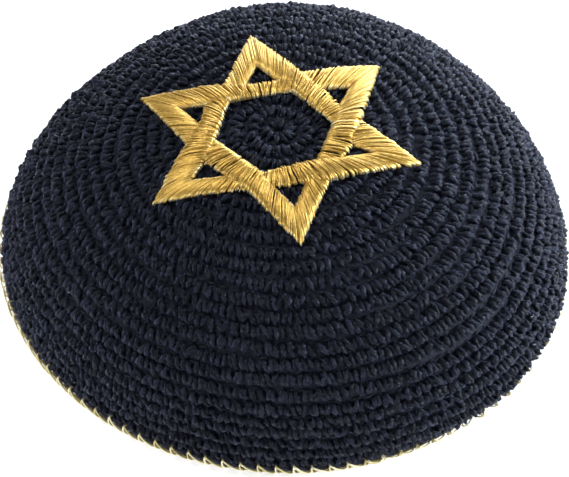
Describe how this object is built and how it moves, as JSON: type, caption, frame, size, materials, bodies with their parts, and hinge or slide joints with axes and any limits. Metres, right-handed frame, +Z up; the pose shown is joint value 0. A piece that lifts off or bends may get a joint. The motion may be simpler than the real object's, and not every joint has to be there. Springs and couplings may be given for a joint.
{
  "type": "kippah skullcap",
  "caption": "Crocheted dome skullcap, open below for the head, with a raised hexagram in satin stitch on its crown and a whip-stitched metallic edge.",
  "frame": {"origin": "middle of the box of the whole cap, on the plane that its edging rests on", "axes": "+Z up through the crown, -Y towards the wearer's front, +X towards the wearer's left hand"},
  "size_m": [0.1624, 0.1472, 0.0603],
  "materials": {
    "yarn": "crocheted matt yarn",
    "gold_thread": "metallic embroidery thread",
    "edge_thread": "metallic whip-stitched thread"
  },
  "bodies": {
    "root": {"crochet_cap": "yarn", "star_embroidery": "gold_thread", "rim_edging": "edge_thread"}
  },
  "joints": []
}
